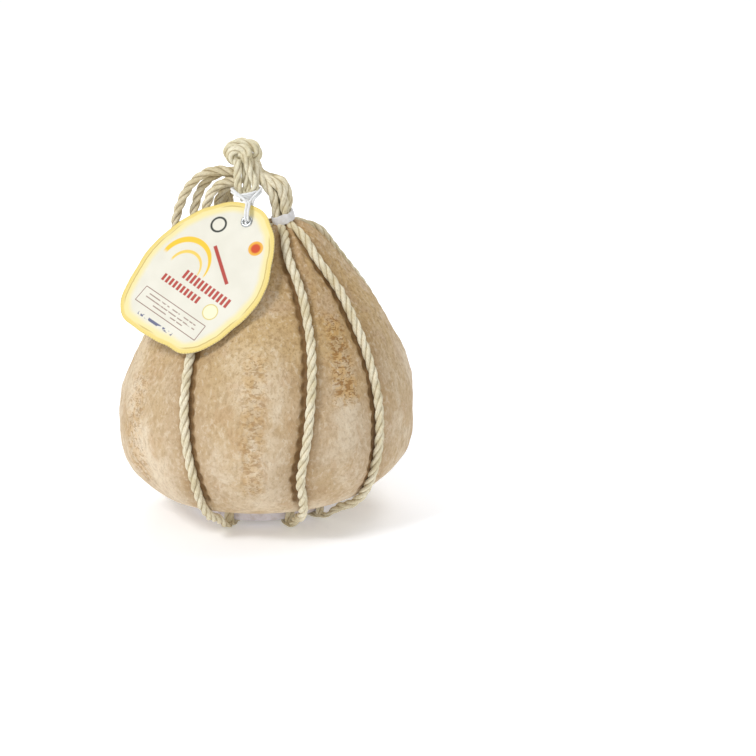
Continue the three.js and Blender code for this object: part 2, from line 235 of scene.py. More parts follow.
def linear(*code):
    """Linear colour of an sRGB colour from 0 to 255."""
    share = np.array(code) / 255
    return (*np.where(share < 0.04045, share / 12.92, ((share + 0.055) / 1.055) ** 2.4), 1.0)


class Finish:
    """A material in the making: one Principled shader, and node() for all that feeds it."""

    def __init__(self, name, **constants):
        self.material = bpy.data.materials.new(name)
        self.material.use_nodes = True
        self.tree = self.material.node_tree
        self.shader = self.tree.nodes["Principled BSDF"]
        for socket, value in constants.items():
            self.shader.inputs[socket.replace("_", " ")].default_value = value

    def node(self, kind, settings, sockets, output=0):
        """Adds a node, makes its settings, then gives its sockets their values or links."""
        made = self.tree.nodes.new(kind)
        for setting, value in settings.items():
            setattr(made, setting, value)
        for key, value in sockets.items():
            if isinstance(value, Value):
                self.tree.links.new(value.socket, made.inputs[key])
            else:
                made.inputs[key].default_value = value
        return Value(self, made.outputs[output])

    def coordinates(self, scale=(1, 1, 1), of="Object"):
        source = self.node("ShaderNodeTexCoord", {}, {}, of)
        return self.node("ShaderNodeMapping", {}, {"Vector": source, "Scale": scale})

    def mask(self, name):
        return self.node("ShaderNodeAttribute", {"attribute_name": name}, {}, "Fac")

    def noise(self, vector, size, detail=3.0, roughness=0.55, distortion=0.0):
        """Noise with a grain of size metres, mostly from 0.3 to 0.7."""
        return self.node("ShaderNodeTexNoise", {}, {
            "Vector": vector, "Scale": 1 / size, "Detail": detail, "Roughness": roughness,
            "Distortion": distortion})

    def fade(self, value, low, high):
        """0 at low, 1 at high, smooth between; low may be above high."""
        return self.node("ShaderNodeMapRange", {"interpolation_type": "SMOOTHSTEP"}, {
            "Value": value, "From Min": low, "From Max": high})

    def mix(self, factor, first, second):
        return self.node("ShaderNodeMix", {"data_type": "RGBA"}, {0: factor, 6: first, 7: second}, 2)

    def feed(self, socket, value):
        self.tree.links.new(value.socket, self.shader.inputs[socket])

    def relief(self, height, distance, strength=1.0):
        bump = self.node("ShaderNodeBump", {}, {"Height": height, "Distance": distance, "Strength": strength})
        self.feed("Normal", bump)


def rind_finish():
    """Tan rind: cloudy patches, a fine grain drawn out up the body, painted shade in the rope grooves and
    beside the ropes, burnt marks.
    """
    rind = Finish("aged_rind", Roughness=0.72, Specular_IOR_Level=0.28)
    place = rind.coordinates()
    drawn = rind.coordinates((1, 1, 0.6))
    cloud = rind.noise(place, 0.034, 3.0, 0.6)
    patch = rind.noise(drawn, 0.0115, 4.0, 0.62, 0.6)
    grain = rind.noise(rind.coordinates((1, 1, 0.7)), 0.0024, 2.0, 0.6, 0.4)
    fleck = rind.noise(place, 0.0013, 2.0, 0.6)
    high = rind.mask("high")
    coarse = high * 0.5 + 0.5
    colour = rind.mix(rind.fade(cloud, 0.36, 0.62), linear(200, 174, 136), linear(226, 208, 180))
    colour = rind.mix(rind.fade(patch, 0.50, 0.68) * 0.40, colour, linear(238, 225, 202))
    colour = rind.mix(rind.fade(patch, 0.48, 0.34) * 0.34, colour, linear(190, 152, 108))
    colour = rind.mix(high * rind.fade(patch, 0.28, 0.60) * 0.75, colour, linear(196, 164, 108))
    # Painted shade: brown beside each rope, where the lobes dip towards it, broken up by the cloud noise.
    colour = rind.mix(rind.mask("stain_and_shade") * rind.fade(cloud, 0.26, 0.52) * 0.66, colour, linear(164, 128, 80))
    colour = rind.mix(rind.fade(grain, 0.54, 0.66) * 0.26, colour, linear(240, 228, 204))
    colour = rind.mix(rind.fade(grain, 0.48, 0.36) * coarse * 0.46, colour, linear(148, 116, 72))
    colour = rind.mix(rind.fade(fleck, 0.43, 0.32) * coarse * 0.42, colour, linear(134, 100, 60))
    # Painted shade: the rind is drawn dark brown in the groove under each rope and in its old mark.
    colour = rind.mix(rind.fade(rind.mask("groove_shade"), 0.12, 0.9) * 0.80, colour, linear(122, 90, 50))
    stamp = rind.mask("stamp")
    smear = stamp * rind.fade(rind.noise(place, 0.005, 2.0), 0.42, 0.58)
    flattened = rind.coordinates((0.8, 0.8, 1.7))
    strokes = stamp * rind.fade(rind.noise(flattened, 0.0030, 1.0, 0.5, 1.2), 0.47, 0.40)
    colour = rind.mix(smear * 0.36, colour, linear(204, 160, 92))
    colour = rind.mix(strokes * 0.52, colour, linear(148, 104, 52))
    rind.feed("Base Color", colour)
    rind.feed("Roughness", rind.fade(patch, 0.3, 0.7) * 0.16 + 0.62)
    rind.relief(patch * 0.8 + grain * 0.7 + fleck * 0.25 - strokes * 0.25, 0.0016, 0.6)
    return rind.material


def stamp_marks(lobe, z):
    """How strongly the burnt stamp shows: the soft upright columns, faded out at their two ends."""
    marks = np.zeros(np.broadcast_shapes(lobe.shape, z.shape))
    for middle, half_width, foot, head, strength in STAMP_COLUMNS:
        across = np.exp(-((lobe - middle) / half_width) ** 4)
        above = ease(z, foot - STAMP_END, foot + STAMP_END)
        marks += strength * across * above * ease(-z, -head - STAMP_END, STAMP_END - head)
    return marks


def cheese_body():
    """Rows are the profile, columns run from rope to rope, closer together beside each one. The radius
    gains a sine-squared lobe, loses a bell-shaped groove under each rope and a scalloped one beside it,
    and wanders."""
    lobes = len(ROPE_AZIMUTHS)
    radius, z = body_profile(BODY_ROWS)
    lobe = np.arange(lobes * LOBE_COLUMNS) / LOBE_COLUMNS
    index, step = np.floor(lobe).astype(int), lobe % 1
    share = (step - 0.5 * np.sin(2 * np.pi * step) / (2 * np.pi))[None, :]
    here = np.stack([rope_azimuth(k, z) for k in range(lobes)], 1)
    after = np.concatenate([here[:, 1:], here[:, :1] + 360], 1)
    span = (after - here)[:, index]
    azimuth = here[:, index] + span * share
    z = z[:, None]
    arc = np.radians(span) * radius[:, None]
    to_right, to_left = share * arc, (1 - share) * arc
    start = ease(z, *GROOVE_START)
    groove = np.exp(-(np.minimum(to_right, to_left) / GROOVE_HALF_WIDTH) ** 2)
    scallop = 0.62 + 0.38 * np.cos(2 * np.pi * (z + 1.3 * index) / PRINT_PITCH)
    mark = np.zeros_like(arc)
    for distance, side in ((to_right, PRINT_SIDES[index]), (to_left, -PRINT_SIDES[(index + 1) % lobes])):
        mark += (side > 0) * np.exp(-((distance - PRINT_OFFSET) / PRINT_HALF_WIDTH) ** 2)
    mark *= start * ease(-z, -PRINT_END[1], -PRINT_END[0]) * scallop
    points = on_body(azimuth, np.broadcast_to(radius[:, None], arc.shape), np.broadcast_to(z, arc.shape))
    wander = sum(depth * waves(points, size, seed) for depth, size, seed in WANDER)
    pleats = PLEAT_DEPTH * np.cos(np.radians(azimuth) * PLEAT_COUNT + 2 * waves(points, 30, 4))
    pleats = pleats * ease(z, *PLEAT_SPAN)
    bulge = LOBE_BULGE * np.sin(np.pi * share) ** 2 * start
    relief = bulge - GROOVE_DEPTH * groove * start - PRINT_DEPTH * mark + (wander + pleats) * ease(z, 12, 30)
    grown = np.maximum(radius[:, None] + relief * ease(radius, 4, 14)[:, None], 0.2)
    # Painted shade: how dark the rind is drawn in each rope groove and in the old mark beside it.
    groove_shade = np.clip(0.75 * groove * start + 1.1 * mark, 0, 1)
    masks = {
        "groove_shade": groove_shade,
        # Painted shade: brown beside each rope, fading out over ROPE_SHADE_REACH mm.
        "stain_and_shade": np.exp(-(np.minimum(to_right, to_left) / ROPE_SHADE_REACH) ** 2) * start,
        "high": np.broadcast_to(ease(z, *HIGH_SPAN), arc.shape),
        "stamp": stamp_marks(index + share, z),
    }
    return lofted("cheese_rind", on_body(azimuth, grown, np.broadcast_to(z, arc.shape)), masks=masks)


def settle(piece, material, slot, *nodes):
    """Gives a piece its finish and its body, and hides the CAD nodes that it stands for. slot is not used."""
    piece.data.materials.append(material)
    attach(piece, "root")
    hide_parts(*nodes)


settle(cheese_body(), rind_finish(), "rind", "cheese")

# ---------------------------------------------------------------------------------------------
# The base ring. A plain moulded ring of pale plastic, under the cheese, that keeps the lower ends
# of the ropes apart. It is held only by the ropes, each of which takes a turn round it.
# ---------------------------------------------------------------------------------------------
RING_INNER, RING_OUTER, RING_TOP, RING_ROUND = 36, 43, 11.5, 2.5


def turned(name, profile, columns, centre=(0, 0, 0), axes=np.eye(3), masks=None, looped=True):
    """A profile of radius and height carried round an axis; axes holds side, front and axis as rows."""
    angle = np.linspace(0, 2 * np.pi, columns, endpoint=False)
    side, front, axis = np.asarray(axes, float)
    round_it = np.cos(angle)[:, None] * side + np.sin(angle)[:, None] * front
    points = profile[:, None, :1] * round_it + profile[:, None, 1:] * axis + np.asarray(centre, float)
    return lofted(name, points, looped=looped, masks=masks)


def rounded_bar(inner, outer, bottom, top, corner, steps=6):
    """Closed profile of an upright bar with round corners, from its lower inner corner outwards."""
    turn = np.linspace(0, np.pi / 2, steps)
    corners = [(inner + corner, bottom + corner, 1.0), (outer - corner, bottom + corner, 1.5),
               (outer - corner, top - corner, 0.0), (inner + corner, top - corner, 0.5)]
    arcs = []
    for x, z, half_turns in corners:
        angle = turn + half_turns * np.pi
        arcs.append(np.stack([x + corner * np.cos(angle), z + corner * np.sin(angle)], -1))
    return np.concatenate(arcs)


def ring_finish():
    """Pale grey-mauve moulded plastic with a soft gloss, fine scratches and a little rind dust."""
    plastic = Finish("ring_plastic", Roughness=0.42)
    dust = plastic.noise(plastic.coordinates(), 0.006, 3.0, 0.6)
    colour = plastic.mix(plastic.fade(dust, 0.4, 0.7), linear(238, 233, 240), linear(216, 206, 206))
    plastic.feed("Base Color", colour)
    plastic.feed("Roughness", dust * 0.3 + 0.3)
    scratch = plastic.noise(plastic.coordinates((1, 1, 6)), 0.0012, 2.0)
    plastic.relief(scratch, 0.0002, 0.3)
    return plastic.material


ring = turned("harness_ring", rounded_bar(RING_INNER, RING_OUTER, RING_BOTTOM, RING_TOP, RING_ROUND), 144)
settle(ring, ring_finish(), "ring", "base_ring")

# ---------------------------------------------------------------------------------------------
# The eight harness ropes. Each is laid right-handed from three strands of pale bast fibre. It ends
# in a cut tail at the ring, takes a turn under and round it, runs up the cheese in its groove, and
# passes through the band. Four go on to the knot, and four fold over above the band.
# ---------------------------------------------------------------------------------------------
ROPE_RADIUS, ROPE_LAY = 2.8, 22.5
ROPE_FLAT_RADIUS, ROPE_CLEARANCE = 2.4, 0.5
STRAND_RADIUS, STRAND_OFFSET = 0.52, 0.48
HITCH_GAP, HITCH_FLAT, HITCH_WIDE = 1.9, 0.57, 1.14
NECK_ROUTE = [
    [17.6, 175.6], [15.9, 181.5], [15.1, 187], [15.3, 193.5], [13.4, 199.4], [9.6, 204], [6.4, 207.6],
    [3.6, 210.6]]
LAYER_HALF, COLUMN_PITCH = 2.55, 5.1
HUMP_RISE, HUMP_FALL, HUMP_LOWER, HUMP_UPPER = (0.2, 0.45), (0.75, 0.95), 1.5, (-0.9, 1.4, 1.4, 0)
UPPER_LAYER = (2, 3, 4, 5)
FOOT_ROUTE = ((50.4, 2.95), (55, 6.6), (61, 10.9), (68.5, 14.3), (76.5, 21), (83.3, 31.5))
BODY_LEVELS = (42, 52, 63, 76, 90, 104, 118, 131, 143, 154, 163)
GATHERING = ((26.4, 171), (19.6, 175))
NECK_STOPS, LAST_UPPER_STOP = (0.11, 0.16, 0.23, 0.31, 0.41, 0.52, 0.66, 0.82, 1), 0.7
TAIL_THICK, TAIL_SPAN, HITCH_SPAN = 0.76, (6, 12), (44, 60)
BAND_SQUEEZE, BAND_LEVEL, BAND_REACH = 0.08, 183, 9
SOFTENING, SOFTENING_SPAN = 0.35, (120, 165)


def smooth_path(points, step, looped=False):
    """Centripetal Catmull-Rom curve through the points, in even steps: each stretch is a cubic whose end
    slopes weigh the neighbouring chords by the square roots of their lengths."""
    points = np.asarray(points, float)
    if looped:
        line = np.concatenate([points[-1:], points, points[:2]])
    else:
        line = np.concatenate([2 * points[:1] - points[1:2], points, 2 * points[-1:] - points[-2:-1]])
    knots = np.sqrt(np.linalg.norm(np.diff(line, axis=0), axis=1))[:, None]
    p0, p1, p2, p3 = line[:-3], line[1:-2], line[2:-1], line[3:]
    k0, k1, k2 = knots[:-2], knots[1:-1], knots[2:]
    slope1 = ((p1 - p0) / k0 - (p2 - p0) / (k0 + k1) + (p2 - p1) / k1) * k1
    slope2 = ((p2 - p1) / k1 - (p3 - p1) / (k1 + k2) + (p3 - p2) / k2) * k1
    t = np.linspace(0, 1, 24, endpoint=False)[None, :, None]
    p1, p2, slope1, slope2 = (part[:, None, :] for part in (p1, p2, slope1, slope2))
    dense = ((2 * t ** 3 - 3 * t ** 2 + 1) * p1 + (t ** 3 - 2 * t ** 2 + t) * slope1
             + (3 * t ** 2 - 2 * t ** 3) * p2 + (t ** 3 - t ** 2) * slope2).reshape(-1, 3)
    dense = np.concatenate([dense, line[-2:-1]])
    length = np.concatenate([[0], np.cumsum(np.linalg.norm(np.diff(dense, axis=0), axis=1))])
    count = int(round(length[-1] / step)) + (0 if looped else 1)
    even = np.linspace(0, length[-1], count, endpoint=not looped)
    return np.stack([np.interp(even, length, dense[:, axis]) for axis in range(3)], -1), even


def moving_frame(path, reference, looped=False):
    """Side and front of a section at each point of a path, square to it and nearest to a fixed direction."""
    if looped:
        along = np.roll(path, -1, 0) - np.roll(path, 1, 0)
    else:
        along = np.gradient(path, axis=0)
    along /= np.linalg.norm(along, axis=1, keepdims=True)
    reference = np.asarray(reference, float)
    side = reference - (along @ reference)[:, None] * along
    side /= np.linalg.norm(side, axis=1, keepdims=True)
    return side, np.cross(along, side)


def laid_rope(name, path, even, reference, radius=ROPE_RADIUS, wide=1.0, thick=1.0, crisp=1.0,
              lay=ROPE_LAY, seed=0, looped=False, columns=42):
    """Three-strand rope along a path. The section's edge is the outermost of three circles set round the
    middle, turned once for each lay, then widened and flattened. crisp deepens the valleys between
    strands."""
    side, front = moving_frame(path, reference, looped)
    angle = np.linspace(0, 2 * np.pi, columns + 1)[None, :]
    turn = 2 * np.pi * even[:, None] / lay
    about = np.mod(angle - turn + np.pi / 3, 2 * np.pi / 3) - np.pi / 3
    edge = STRAND_OFFSET * np.cos(about) + np.sqrt(STRAND_RADIUS ** 2 - (STRAND_OFFSET * np.sin(about)) ** 2)
    valley = (1 - edge) / (1 - edge.min())
    crisp = np.broadcast_to(crisp, even.shape)[:, None]
    strand = np.floor((angle - turn + np.pi / 3) / (2 * np.pi / 3)).astype(int) % 3
    rng = np.random.default_rng(seed + 40)
    phases = rng.uniform(0, 2 * np.pi, (3, 2))
    uneven = 1 + 0.035 * np.cos(even[:, None] / 2.1 + phases[strand, 0]) * (1 - valley)
    uneven += 0.03 * np.cos(even[:, None] / 5.3 + phases[strand, 1])
    reach = radius * (1 - (1 - edge) * crisp) * uneven
    wide = np.broadcast_to(wide, even.shape)[:, None, None]
    thick = np.broadcast_to(thick, even.shape)[:, None, None]
    around = (np.cos(angle)[..., None] * side[:, None] * wide
              + np.sin(angle)[..., None] * front[:, None] * thick)
    sections = path[:, None] + reach[..., None] * around
    uv = np.stack([
        np.broadcast_to(angle / (2 * np.pi), reach.shape),
        np.broadcast_to(even[:, None] * MM, reach.shape)], -1)
    return lofted(name, sections[:, :-1], uv=uv, looped=looped, masks={"valley": valley[:, :-1]})


def rope_finish(name, crest, streak_and_shade):
    """Cream bast fibre with long loose fibres; the valleys between strands are drawn dark as painted shade.
    """
    fibre = Finish(name, Roughness=0.85, Specular_IOR_Level=0.2)
    along = fibre.coordinates((0.016, 1, 1), "UV")
    hair = fibre.noise(fibre.coordinates((0.018, 0.14, 1), "UV"), 0.00035, 3.0, 0.6)
    stain_and_shade = fibre.noise(fibre.coordinates(), 0.013, 3.0, 0.6)
    blot = fibre.noise(along, 0.0035, 2.0, 0.5)
    valley = fibre.mask("valley")
    stained = linear(*(np.array(crest) * [0.90, 0.88, 0.82]))
    colour = fibre.mix(fibre.fade(stain_and_shade, 0.34, 0.66), stained, linear(*crest))
    colour = fibre.mix(fibre.fade(blot, 0.52, 0.7) * 0.35, colour, linear(240, 230, 205))
    colour = fibre.mix(fibre.fade(hair, 0.52, 0.36) * 0.45, colour, linear(*streak_and_shade))
    # Painted shade: the valleys between strands are drawn in the dark colour.
    colour = fibre.mix(fibre.fade(valley, 0.45, 1.0) * 0.8, colour, linear(*streak_and_shade))
    fibre.feed("Base Color", colour)
    fibre.relief(hair * 0.8 + blot * 0.3, 0.0007, 0.7)
    return fibre.material


# The second colour serves both as the dark fibre streaks and as the painted shade between strands.
harness_fibre = rope_finish("harness_fibre", (246, 238, 212), (172, 149, 104))


def bundle_place(index, stop):
    """Place of a rope at a share of the neck route, across it and to its front: two layers of four that are
    stacked from front to back, and part in the hump above the band."""
    hump = ease(stop, *HUMP_RISE) - ease(stop, *HUMP_FALL)
    upper = index in UPPER_LAYER
    from_front = index - 2 if upper else (9 - index) % 8
    across = LAYER_HALF + HUMP_UPPER[from_front] * hump if upper else -LAYER_HALF - HUMP_LOWER * hump
    return across, (1.5 - from_front) * COLUMN_PITCH


neck_path, _ = smooth_path([[x, 0, z] for x, z in NECK_ROUTE], 0.25)
neck_along = np.gradient(neck_path, axis=0)
neck_along /= np.linalg.norm(neck_along, axis=1, keepdims=True)


def neck_point(stop, across, front):
    """Point at a share of the neck route, set off across it and to its front."""
    at = int(round(stop * (len(neck_path) - 1)))
    along = neck_along[at]
    return neck_path[at] + [along[2] * across, -front, -along[0] * across]


def hitch_route(azimuth):
    """From the cut tail at the ring's outer face over its top, down its inner side and out under it."""
    quarter = np.linspace(0, np.pi / 2, 5)
    bend = RING_ROUND + HITCH_GAP
    outward, inward = RING_OUTER - RING_ROUND, RING_INNER + RING_ROUND
    low, high = RING_BOTTOM + RING_ROUND, RING_TOP - RING_ROUND
    flat = [[RING_OUTER + 2.4, RING_BOTTOM - 1.2], [RING_OUTER + 2.3, RING_BOTTOM + 2.5]]
    flat += [[outward + (bend + 0.2) * np.cos(t), high + bend * np.sin(t)] for t in quarter]
    flat += [[inward - bend * np.sin(t), high + bend * np.cos(t)] for t in quarter]
    flat += [[inward - bend * np.cos(t), low - bend * np.sin(t)] for t in quarter]
    flat += [[RING_OUTER, RING_BOTTOM - HITCH_GAP]]
    angle = np.radians(azimuth)
    return [[r * np.sin(angle), -r * np.cos(angle), z] for r, z in flat]


def harness_route(index):
    """Points of one rope from its tail at the ring up over the body, through the band and on."""
    points = hitch_route(ROPE_AZIMUTHS[index, 0])
    points += [on_body(rope_azimuth(index, z), radius, z) for radius, z in FOOT_ROUTE]
    for z in BODY_LEVELS:
        slope = float(body_radius(z + 0.5) - body_radius(z - 0.5))
        radius = body_radius(z) - GROOVE_DEPTH + (ROPE_FLAT_RADIUS + ROPE_CLEARANCE) * np.hypot(1, slope)
        points.append(on_body(rope_azimuth(index, z), radius, z))
    points += [on_body(rope_azimuth(index, z), radius, z) for radius, z in GATHERING]
    for stop in NECK_STOPS:
        if index in UPPER_LAYER and stop > LAST_UPPER_STOP:
            break
        points.append(neck_point(stop, *bundle_place(index, stop)))
    _, front = bundle_place(index, 1)
    if index in UPPER_LAYER:
        points += [neck_point(0.78, 0.4, front * 0.9), neck_point(0.93, -2.6, front * 0.7)]
    else:
        points += [[-0.6, -0.75 * front - 1, 214.6], [-5.2, -0.5 * front - 2, 219.4],
                   [-11.4, -0.3 * front - 3, 220.6]]
    return points


for index in range(len(ROPE_AZIMUTHS)):
    path, even = smooth_path(harness_route(index), 0.9)
    angle = np.radians(ROPE_AZIMUTHS[index, 0])
    past_tail, loose = ease(even, *TAIL_SPAN), ease(even, *HITCH_SPAN)
    squeezed = 1 - BAND_SQUEEZE * np.exp(-((path[:, 2] - BAND_LEVEL) / BAND_REACH) ** 2)
    piece = laid_rope(
        f"harness_rope_{index + 1}", path, even, [np.cos(angle), np.sin(angle), 0],
        wide=(HITCH_WIDE + (1 - HITCH_WIDE) * loose) * squeezed,
        thick=TAIL_THICK * (1 - past_tail) + (HITCH_FLAT + (1 - HITCH_FLAT) * loose) * squeezed * past_tail,
        crisp=1 - SOFTENING * ease(path[:, 2], *SOFTENING_SPAN), seed=index)
    settle(piece, harness_fibre, "rope", f"rope_{index + 1}", f"hitch_{index + 1}")

# ---------------------------------------------------------------------------------------------
# The neck band. A strip of off-white woven tape, drawn tight round the gathered ropes and heat
# sealed, so that it follows the ropes under it in a soft scalloped outline.
# ---------------------------------------------------------------------------------------------
BAND_HALF_WIDTH, BAND_HALF_DEPTH, BAND_WALL, BAND_HEIGHT = 5.7, 10.9, 0.8, 5.4
BAND_TILT, BAND_SQUARENESS = 17, 3.4


def band_finish():
    """Off-white tape with a fine weave and a faint sheen."""
    tape = Finish("band_tape", Roughness=0.55)
    place = tape.coordinates()
    weave = tape.noise(tape.coordinates((1, 1, 3)), 0.0008, 2.0)
    worn = tape.fade(tape.noise(place, 0.005), 0.35, 0.7)
    colour = tape.mix(worn, linear(222, 219, 216), linear(240, 239, 240))
    tape.feed("Base Color", colour)
    tape.relief(weave, 0.0005, 0.5)
    return tape.material


def neck_band():
    """A rounded bar carried round a superellipse about the tilted axis of the neck: each side is drawn in
    between the ropes under it, and its two edges are a little crinkled."""
    profile = rounded_bar(0, BAND_WALL, -BAND_HEIGHT / 2, BAND_HEIGHT / 2, 0.35)
    low, high = (np.array(corner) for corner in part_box("neck_band"))
    centre = ((low + high) / 2 - MIDDLE) / MM
    tilt = np.radians(-BAND_TILT)
    axis = np.array([np.sin(tilt), 0, np.cos(tilt)])
    side = np.array([np.cos(tilt), 0, -np.sin(tilt)])
    angle = np.linspace(0, 2 * np.pi, 200, endpoint=False)
    power = 2 / BAND_SQUARENESS
    across = np.sign(np.cos(angle)) * np.abs(np.cos(angle)) ** power
    deep = np.sign(np.sin(angle)) * np.abs(np.sin(angle)) ** power
    pull = 0.22 * np.cos(2 * np.pi * deep * BAND_HALF_DEPTH / COLUMN_PITCH) * (np.abs(across) > 0.98)
    crinkle = 0.22 * np.cos(5 * angle + 1) + 0.15 * np.cos(9 * angle)
    reach = profile[:, :1] + pull
    height = profile[:, 1:] + crinkle * np.sign(profile[:, 1:])
    points = (((BAND_HALF_WIDTH + reach) * across)[..., None] * side + height[..., None] * axis + centre
              + ((BAND_HALF_DEPTH + reach) * deep)[..., None] * np.array([0, 1, 0]))
    return lofted("neck_tape", points, looped=True)


settle(neck_band(), band_finish(), "band", "neck_band")

# ---------------------------------------------------------------------------------------------
# The top knot. The rope ends are gathered and bound with turns of the same rope from back to front.
# The spare rope hangs from it in three bights, and a short loop at the front carries the tag.
# ---------------------------------------------------------------------------------------------
KNOT_X, KNOT_Z, KNOT_BACK = -7.4, 220.6, 4.1
KNOT_HALF_WIDTH, KNOT_HALF_HEIGHT, KNOT_PITCH = 8.9, 6.0, 5.6
KNOT_FROM, KNOT_TO = 560, -380

# The second colour of each serves both as the dark fibre streaks and as the painted shade between strands.
knot_fibre = rope_finish("knot_fibre", (244, 238, 212), (172, 150, 108))
spare_fibre = rope_finish("spare_fibre", (238, 228, 200), (146, 122, 84))

turn = np.linspace(KNOT_FROM, KNOT_TO, 60)
closing = 1 - 0.55 * ease(-turn, -40, -KNOT_TO)
knot_route = np.stack([
    KNOT_X + KNOT_HALF_WIDTH * closing * np.cos(np.radians(turn)),
    KNOT_BACK - KNOT_PITCH * (KNOT_FROM - turn) / 360,
    KNOT_Z + KNOT_HALF_HEIGHT * closing * np.sin(np.radians(turn)) + 1.2 * (1 - closing)], -1)
knot_route = np.concatenate([knot_route, [[KNOT_X, -8.5, KNOT_Z + 0.9], [KNOT_X + 0.4, -5, KNOT_Z + 0.4]]])
path, even = smooth_path(knot_route, 0.8)
settle(laid_rope("knot_binding", path, even, [0, 1, 0], seed=11), knot_fibre, "rope", "top_knot")

HANG_LOOPS = [
    [[-10.5, -7, 209.8], [-18, -7, 211.2], [-25, -7, 211], [-31.5, -7, 208.2], [-39, -6.5, 201.5],
     [-44.6, -6, 191.5], [-47.8, -5.5, 180.8], [-48.4, -5, 167], [-46.8, -5, 154.5], [-41.7, -5, 149],
     [-36, -5.2, 154.5], [-32.8, -6.2, 166], [-31, -6.8, 180], [-28.6, -7.2, 192], [-24, -7.5, 200.2],
     [-17.5, -8, 204.4], [-11.5, -8, 204.4]],
    [[-10.5, -1.4, 209.5], [-17, -1.6, 209.4], [-25, -1.8, 207], [-31.6, -1.8, 201], [-35.8, -1.8, 191.5],
     [-37.8, -1.8, 181], [-37.2, -1.6, 170.5], [-31, -1.5, 164], [-25.8, -1.6, 170.5], [-24.4, -1.8, 181],
     [-22.4, -1.8, 192], [-17.6, -2, 200], [-10.5, -2, 203.6]],
    [[-10.5, 4, 209.2], [-15.5, 4, 205.5], [-17.8, 4, 197], [-18.6, 4, 188], [-17.9, 6.6, 181.2],
     [-17, 9.4, 188], [-15.6, 9.4, 197], [-9.5, 9.2, 203.5]],
]
for number, route in enumerate(HANG_LOOPS, 1):
    path, even = smooth_path(route, 0.8)
    piece = laid_rope(f"spare_loop_{number}", path, even, [0, 1, 0], seed=20 + number)
    settle(piece, spare_fibre, "rope", f"hang_loop_{number}")

TAG_LOOP = [
    [-9.9, -12.3, 218.5], [-9.7, -12.3, 211], [-9.9, -12.3, 204], [-7.8, -12.3, 198.5], [-4.3, -12.3, 196.4],
    [-1.2, -12.3, 198.6], [0.3, -12.3, 203.6], [-2.4, -12.3, 210.5], [-4.9, -12.3, 218.5]]
BIGHT_TAIL = [[-6.6, -9.5, 221], [-6.6, -7.2, 216.5], [-5.6, -8.6, 210], [-5, -9.6, 204], [-4.6, -9.9, 198]]
path, even = smooth_path(TAG_LOOP + BIGHT_TAIL, 0.8)
settle(laid_rope("tag_bight", path, even, [0, 1, 0], radius=2.5, seed=30), knot_fibre, "rope", "tag_loop")

# ---------------------------------------------------------------------------------------------
# The tag. A stiff card cut like a torn leaf of old paper, pale yellow at its border and warm white
# inside, with plain printed bars, lines and discs. A pressed metal eyelet lines its hole, and a
# white cord ties it to the front loop, so that it lies on the shoulder of the cheese.
# ---------------------------------------------------------------------------------------------
TAG_AZIMUTH, TAG_RISE, TAG_ROLL = -20, 36, -27.8
TAG_THICKNESS, TAG_HOLE = 0.9, 2.7
TAG_OUTLINE = [
    [-15.7, 5.5], [-5, 9.6], [3, 10.6], [14, 6.5], [23, -0.5], [31.5, -12.6], [38.6, -26], [40.8, -38],
    [38.2, -57], [32.6, -73.5], [23.7, -83.7], [10, -86.6], [-6.4, -88.5], [-21, -88.6], [-29, -85.6],
    [-34.5, -79], [-38.3, -65.3], [-41, -45.5], [-37.8, -27.4], [-30.1, -9.5]]

low, high = (np.array(corner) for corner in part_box("eyelet"))
EYELET_CENTRE = ((low + high) / 2 - MIDDLE) / MM
azimuth, rise, roll = np.radians([TAG_AZIMUTH, TAG_RISE, TAG_ROLL])
card_out = np.array([np.sin(azimuth) * np.cos(rise), -np.cos(azimuth) * np.cos(rise), np.sin(rise)])
level = np.array([np.cos(azimuth), np.sin(azimuth), 0])
upright = np.cross(card_out, level)
card_side = np.cos(roll) * level + np.sin(roll) * upright
card_up = np.cross(card_out, card_side)


def tag_card():
    """Rows run from the hole out to the edge on the front and back again behind, columns run round. The
    outline is a smooth closed curve with a slightly torn edge, and the card bows a little across its
    width."""
    outline, even = smooth_path([[x, y, 0] for x, y in reversed(TAG_OUTLINE)], 0.9, looped=True)
    outline = outline[:, :2]
    angle = np.unwrap(np.arctan2(outline[:, 1], outline[:, 0]))
    ragged = 0.16 * np.cos(even / 2.3) + 0.14 * np.cos(even / 3.7 + 2)
    outline = outline * (1 + ragged / np.linalg.norm(outline, axis=1))[:, None]
    hole = TAG_HOLE * np.stack([np.cos(angle), np.sin(angle)], -1)
    share = np.concatenate([np.linspace(0, 0.985, 66), [0.996, 1.0]])
    front = hole + share[:, None, None] * (outline - hole)
    nearest = np.full(front.shape[:2], np.inf)
    for point in outline[::2]:
        nearest = np.minimum(nearest, np.linalg.norm(front - point, axis=-1))
    depth = np.full(len(share), TAG_THICKNESS / 2)
    depth[-2:] *= [0.9, 0.55]
    drop = -front[..., 1]
    bow = 1.3 * (1 - (front[..., 0] / 40) ** 2) * ease(drop, 5, 45) - 0.6 * ease(drop, 55, 90)
    flat = np.concatenate([front, front[::-1]])
    height = np.concatenate([bow + depth[:, None], (bow - depth[:, None])[::-1]])
    points = (flat[..., :1] * card_side + flat[..., 1:] * card_up
              + height[..., None] * card_out + EYELET_CENTRE)
    uv = np.concatenate([flat, flat[:, :1]], 1) * MM
    inset = np.concatenate([nearest, nearest[::-1]])
    printed = np.concatenate([np.ones_like(nearest), np.zeros_like(nearest)])
    return lofted("tag_card", points, uv=uv, looped=True, masks={"inset": inset, "printed": printed})


